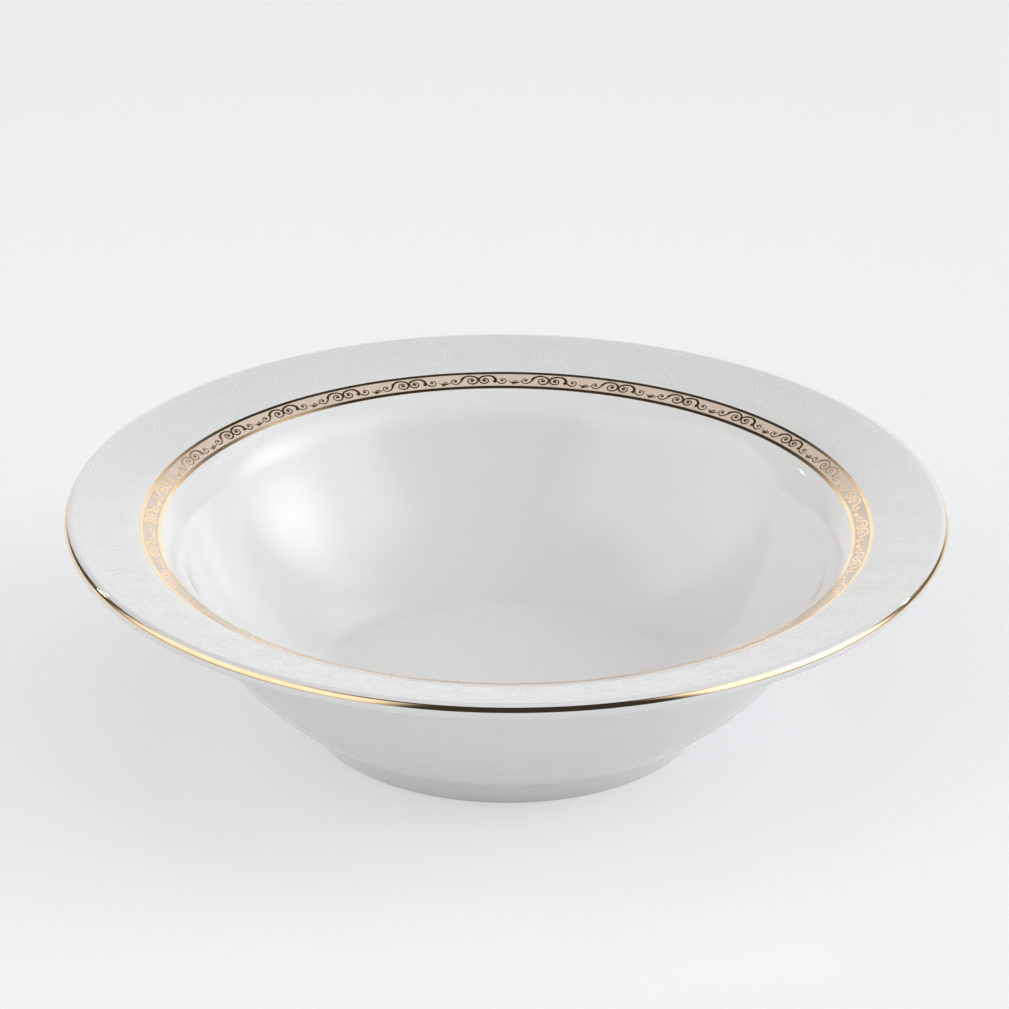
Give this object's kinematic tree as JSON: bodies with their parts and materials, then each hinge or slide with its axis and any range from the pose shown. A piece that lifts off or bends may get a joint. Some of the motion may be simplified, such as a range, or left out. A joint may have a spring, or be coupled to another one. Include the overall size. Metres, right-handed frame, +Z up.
{
  "type": "serving bowl",
  "caption": "Round porcelain serving bowl with a wide sloping rim, a foot ring, a gilded lip and a blush border between gold lines on its shoulder.",
  "frame": {"origin": "centre of the circle on which the foot ring stands", "axes": "+Z up along the bowl's axis, +X to the right, +Y away from the viewer"},
  "size_m": [0.25, 0.25, 0.0652],
  "materials": {
    "glazed_porcelain": "high gloss clear glaze over white porcelain, unglazed and matt on the seat of the foot ring",
    "blush_enamel": "glossy blush beige overglaze enamel",
    "gold": "bright polished gold"
  },
  "bodies": {
    "root": {"porcelain_body": "glazed_porcelain", "blush_ground_band": "blush_enamel", "inner_gold_line": "gold", "outer_gold_line": "gold", "gold_edge": "gold"}
  },
  "joints": []
}
